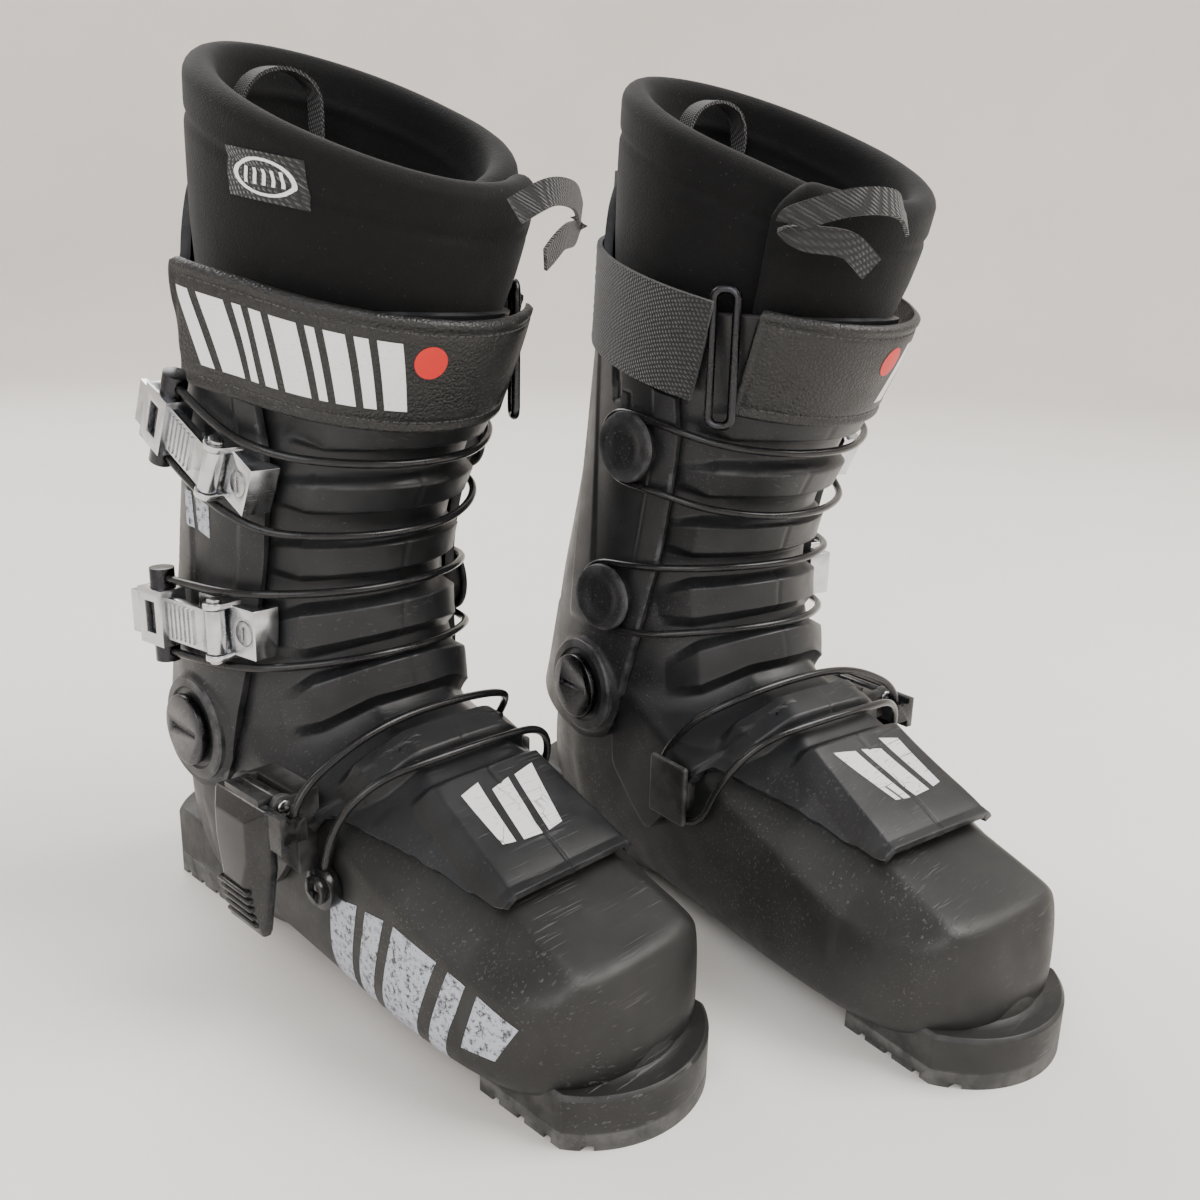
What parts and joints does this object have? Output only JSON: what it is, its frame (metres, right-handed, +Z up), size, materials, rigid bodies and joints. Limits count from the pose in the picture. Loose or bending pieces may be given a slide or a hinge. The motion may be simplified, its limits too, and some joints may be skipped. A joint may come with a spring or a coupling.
{
  "type": "alpine ski boots",
  "caption": "Pair of three-piece alpine ski boots with flexing cuff, ribbed tongue, foam liner, cable buckles and shin strap.",
  "frame": {"origin": "centre of the bounding box on the floor", "axes": "+Z up, -Y towards the toes of the right boot, +X from the right boot to the left boot; the left boot's toes turn inward to the -X side by 10 degrees"},
  "size_m": [0.2752, 0.347, 0.341],
  "materials": {
    "shell_plastic": "scuffed satin",
    "cuff_plastic": "scuffed satin",
    "tongue_plastic": "satin",
    "spine_plastic": "matt",
    "board_plastic": "matt",
    "base_plastic": "satin",
    "lever_plastic": "glossy",
    "sole_rubber": "worn",
    "liner_foam": "neoprene and knit",
    "liner_felt": "felt",
    "webbing": "coarse weave",
    "strap_leather": "grained",
    "screw_steel": "brushed",
    "ring_steel": "polished",
    "pivot_metal": "anodised",
    "anchor_metal": "black",
    "buckle_silver": "satin silver",
    "barrel_black": "dark satin",
    "cable": "coated cable"
  },
  "bodies": {
    "right_shell": {"right_lower_shell": "shell_plastic", "right_toe_sole": "sole_rubber", "right_heel_sole": "sole_rubber", "right_sole_screws": "screw_steel", "right_boot_board": "board_plastic", "right_liner": "liner_foam", "right_footbed": "liner_felt", "right_tongue": "tongue_plastic", "right_cuff_pivots": "pivot_metal", "right_instep_base": "base_plastic", "right_instep_pin": "screw_steel", "right_instep_cable": "cable", "right_instep_anchor": "anchor_metal"},
    "right_cuff": {"right_cuff": "cuff_plastic", "right_spoiler": "spine_plastic", "right_cuff_screws": "screw_steel", "right_power_strap": "strap_leather", "right_strap_webbing": "webbing", "right_strap_ring": "ring_steel", "right_pull_loops": "webbing", "right_buckle_pins": "screw_steel", "right_ankle_base": "buckle_silver", "right_ankle_cable": "cable", "right_top_base": "buckle_silver", "right_top_cable": "cable"},
    "right_instep_lever": {"right_instep_lever": "lever_plastic"},
    "right_ankle_lever": {"right_ankle_lever": "buckle_silver", "right_ankle_barrel": "barrel_black"},
    "right_top_lever": {"right_top_lever": "buckle_silver", "right_top_barrel": "barrel_black"},
    "left_shell": {"left_lower_shell": "shell_plastic", "left_toe_sole": "sole_rubber", "left_heel_sole": "sole_rubber", "left_sole_screws": "screw_steel", "left_boot_board": "board_plastic", "left_liner": "liner_foam", "left_footbed": "liner_felt", "left_tongue": "tongue_plastic", "left_cuff_pivots": "pivot_metal", "left_instep_base": "base_plastic", "left_instep_pin": "screw_steel", "left_instep_cable": "cable", "left_instep_anchor": "anchor_metal"},
    "left_cuff": {"left_cuff": "cuff_plastic", "left_spoiler": "spine_plastic", "left_cuff_screws": "screw_steel", "left_power_strap": "strap_leather", "left_strap_webbing": "webbing", "left_strap_ring": "ring_steel", "left_pull_loops": "webbing", "left_buckle_pins": "screw_steel", "left_ankle_base": "buckle_silver", "left_ankle_cable": "cable", "left_top_base": "buckle_silver", "left_top_cable": "cable"},
    "left_instep_lever": {"left_instep_lever": "lever_plastic"},
    "left_ankle_lever": {"left_ankle_lever": "buckle_silver", "left_ankle_barrel": "barrel_black"},
    "left_top_lever": {"left_top_lever": "buckle_silver", "left_top_barrel": "barrel_black"}
  },
  "joints": [
    {"name": "left_boot_lift", "type": "slide", "parent": "right_shell", "child": "left_shell", "axis": [0, 0, 1], "range_m": [0, 0.3]},
    {"name": "right_cuff_flex", "type": "hinge", "parent": "right_shell", "child": "right_cuff", "pos_m": [-0.0696, 0.09397, 0.092], "axis": [1, 0, 0], "range_deg": [0, 8], "stiffness_Nm_per_rad": 60, "deforming": ["right_liner", "right_tongue", "right_ankle_cable", "right_top_cable", "right_power_strap", "right_strap_webbing", "right_strap_ring", "right_pull_loops"]},
    {"name": "right_ankle_buckle", "type": "hinge", "parent": "right_cuff", "child": "right_ankle_lever", "pos_m": [-0.12518, 0.07035, 0.1355], "axis": [0, 0, 1], "range_deg": [0, 105], "deforming": ["right_ankle_cable"]},
    {"name": "right_top_buckle", "type": "hinge", "parent": "right_cuff", "child": "right_top_lever", "pos_m": [-0.12663, 0.06335, 0.19386], "axis": [0.0024, -0.4384, 0.8988], "range_deg": [0, 105], "deforming": ["right_top_cable"]},
    {"name": "right_instep_buckle", "type": "hinge", "parent": "right_shell", "child": "right_instep_lever", "pos_m": [-0.1286, 0.03997, 0.085], "axis": [0, 1, 0], "range_deg": [0, 100], "deforming": ["right_instep_cable"]},
    {"name": "left_cuff_flex", "type": "hinge", "parent": "left_shell", "child": "left_cuff", "pos_m": [0.06997, 0.01969, 0.092], "axis": [0.9848, -0.1736, 0], "range_deg": [0, 8], "stiffness_Nm_per_rad": 60, "deforming": ["left_liner", "left_tongue", "left_ankle_cable", "left_top_cable", "left_power_strap", "left_strap_webbing", "left_strap_ring", "left_pull_loops"]},
    {"name": "left_ankle_buckle", "type": "hinge", "parent": "left_cuff", "child": "left_ankle_lever", "pos_m": [0.12061, -0.01323, 0.1355], "axis": [0, 0, -1], "range_deg": [0, 105], "deforming": ["left_ankle_cable"]},
    {"name": "left_top_buckle", "type": "hinge", "parent": "left_cuff", "child": "left_top_lever", "pos_m": [0.12082, -0.02036, 0.19386], "axis": [0.0785, 0.4313, -0.8988], "range_deg": [0, 105], "deforming": ["left_top_cable"]},
    {"name": "left_instep_buckle", "type": "hinge", "parent": "left_shell", "child": "left_instep_lever", "pos_m": [0.1187, -0.04374, 0.085], "axis": [-0.1736, -0.9848, 0], "range_deg": [0, 100], "deforming": ["left_instep_cable"]}
  ]
}
